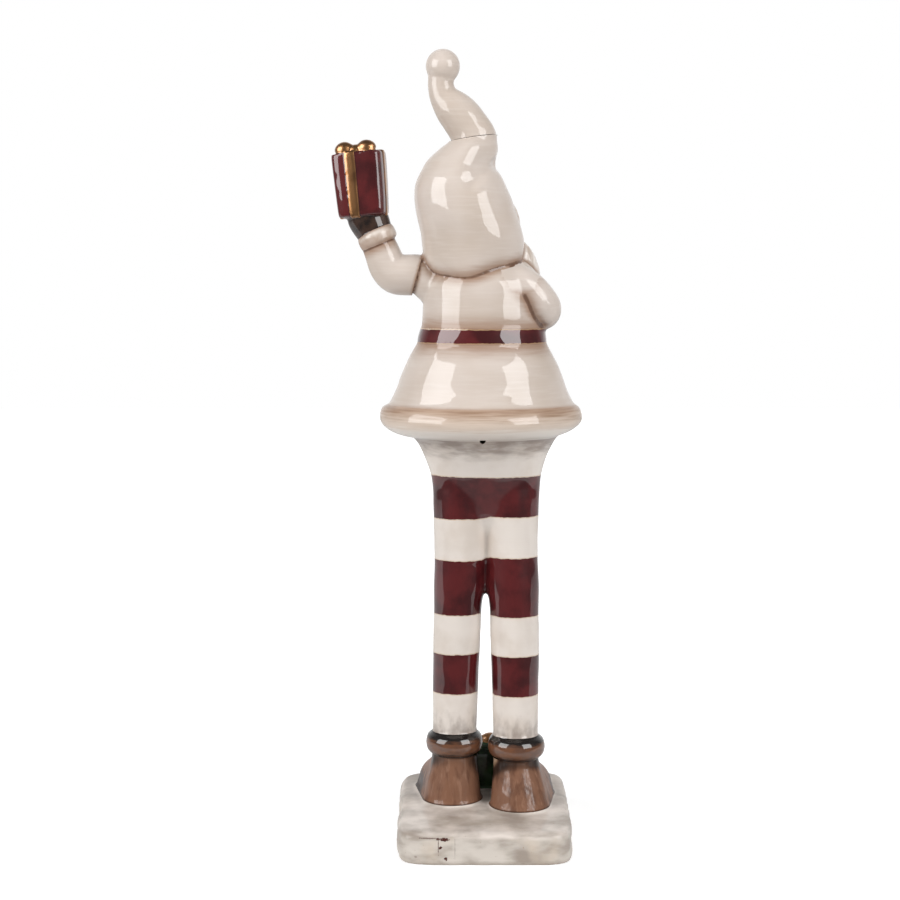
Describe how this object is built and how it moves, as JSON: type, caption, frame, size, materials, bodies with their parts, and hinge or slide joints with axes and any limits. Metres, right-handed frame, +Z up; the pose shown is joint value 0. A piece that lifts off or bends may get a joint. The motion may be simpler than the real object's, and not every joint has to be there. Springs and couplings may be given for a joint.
{
  "type": "ceramic santa figurine",
  "caption": "Tall glazed ceramic Santa on long striped legs and a flat plinth, raising a wrapped gift; stands free as a shelf or table decoration.",
  "frame": {"origin": "centre of the plinth's flat underside", "axes": "+Z up through the figure, which faces -Y; the raised arm with the gift is at +X"},
  "size_m": [0.1275, 0.106, 0.3998],
  "materials": {
    "figure_glaze": "hand-painted cream, off-white, maroon and brown under a clear gloss glaze",
    "arm_glaze": "hand-painted cream, maroon, dark brown and gold under a clear gloss glaze",
    "hat_glaze": "cream under a clear gloss glaze"
  },
  "bodies": {
    "root": {"figure_body": "figure_glaze", "raised_arm": "arm_glaze", "hat_tip": "hat_glaze"}
  },
  "joints": []
}
